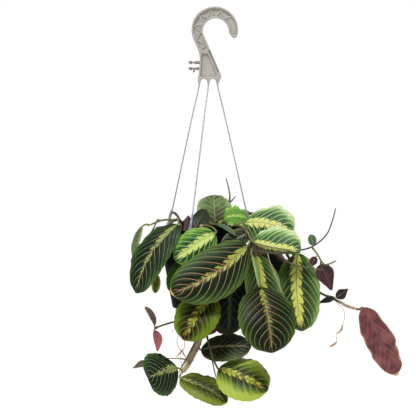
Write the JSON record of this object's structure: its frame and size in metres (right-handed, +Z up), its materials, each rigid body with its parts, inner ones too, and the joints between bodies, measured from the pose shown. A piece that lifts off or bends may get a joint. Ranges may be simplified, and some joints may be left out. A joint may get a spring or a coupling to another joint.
{
  "type": "hanging pot with a trailing prayer plant",
  "caption": "Prayer plant trailing over the rim of a black plastic pot that hangs from a moulded hook on steel wires.",
  "frame": {"origin": "the highest point inside the hook's throat, in the middle of its thickness, where the plant hangs from its support", "axes": "+Z up, +X to the right of the side that the hook's open mouth faces, +Y to the back, away from the side with the longest trailing leaves"},
  "size_m": [0.4023, 0.2825, 0.5756],
  "materials": {
    "hanger_plastic": "satin moulded plastic, warm light grey",
    "wire_steel": "drawn zinc-coated wire, dull silver",
    "clip_plastic": "satin plastic, blue-grey",
    "pot_plastic": "thin black plastic with a low gloss",
    "soil": "loose dark peat mix",
    "stem": "soft green to brown stem with leaf sheaths",
    "leaf_dark": "living leaf, dark green with pink veins and a yellow-green band along the midrib",
    "leaf_bright": "living leaf, bright green with pink veins and a yellow-green band along the midrib",
    "leaf_maroon": "living leaf seen from its wine-red underside"
  },
  "bodies": {
    "root": {"clip_left": "clip_plastic", "clip_middle": "clip_plastic", "clip_right": "clip_plastic", "hanger_hook": "hanger_plastic", "leaf_back_left_low": "leaf_dark", "leaf_back_left_middle": "leaf_dark", "leaf_back_left_top": "leaf_bright", "leaf_back_low": "leaf_dark", "leaf_back_low_left": "leaf_bright", "leaf_back_middle": "leaf_dark", "leaf_back_right_low": "leaf_bright", "leaf_back_right_middle": "leaf_dark", "leaf_back_right_top": "leaf_bright", "leaf_back_top": "leaf_bright", "leaf_crown_back_left": "leaf_dark", "leaf_crown_back_right": "leaf_bright", "leaf_crown_low": "leaf_dark", "leaf_crown_round": "leaf_dark", "leaf_crown_shade": "leaf_dark", "leaf_crown_young": "leaf_bright", "leaf_far_right_large": "leaf_maroon", "leaf_front_band": "leaf_bright", "leaf_front_large": "leaf_dark", "leaf_front_low": "leaf_bright", "leaf_front_rolled": "leaf_bright", "leaf_front_shade": "leaf_dark", "leaf_left_edge": "leaf_dark", "leaf_left_hidden": "leaf_dark", "leaf_left_inner": "leaf_bright", "leaf_left_large": "leaf_dark", "leaf_low_dark": "leaf_dark", "leaf_low_left": "leaf_dark", "leaf_low_left_lower": "leaf_maroon", "leaf_low_left_upper": "leaf_maroon", "leaf_low_olive": "leaf_bright", "leaf_low_right": "leaf_bright", "leaf_low_yellow": "leaf_bright", "leaf_right_large": "leaf_bright", "leaf_right_maroon": "leaf_maroon", "leaf_right_middle": "leaf_bright", "leaf_right_shade": "leaf_dark", "leaf_right_upper": "leaf_bright", "leaf_side_left": "leaf_bright", "leaf_side_right_back": "leaf_bright", "leaf_side_right_low": "leaf_bright", "leaf_side_right_top": "leaf_dark", "pot": "pot_plastic", "soil": "soil", "stem_back": "stem", "stem_back_left": "stem", "stem_back_right": "stem", "stem_crown": "stem", "stem_far_right": "stem", "stem_front": "stem", "stem_left": "stem", "stem_low": "stem", "stem_right": "stem", "wire_left": "wire_steel", "wire_middle": "wire_steel", "wire_right": "wire_steel"}
  },
  "joints": []
}
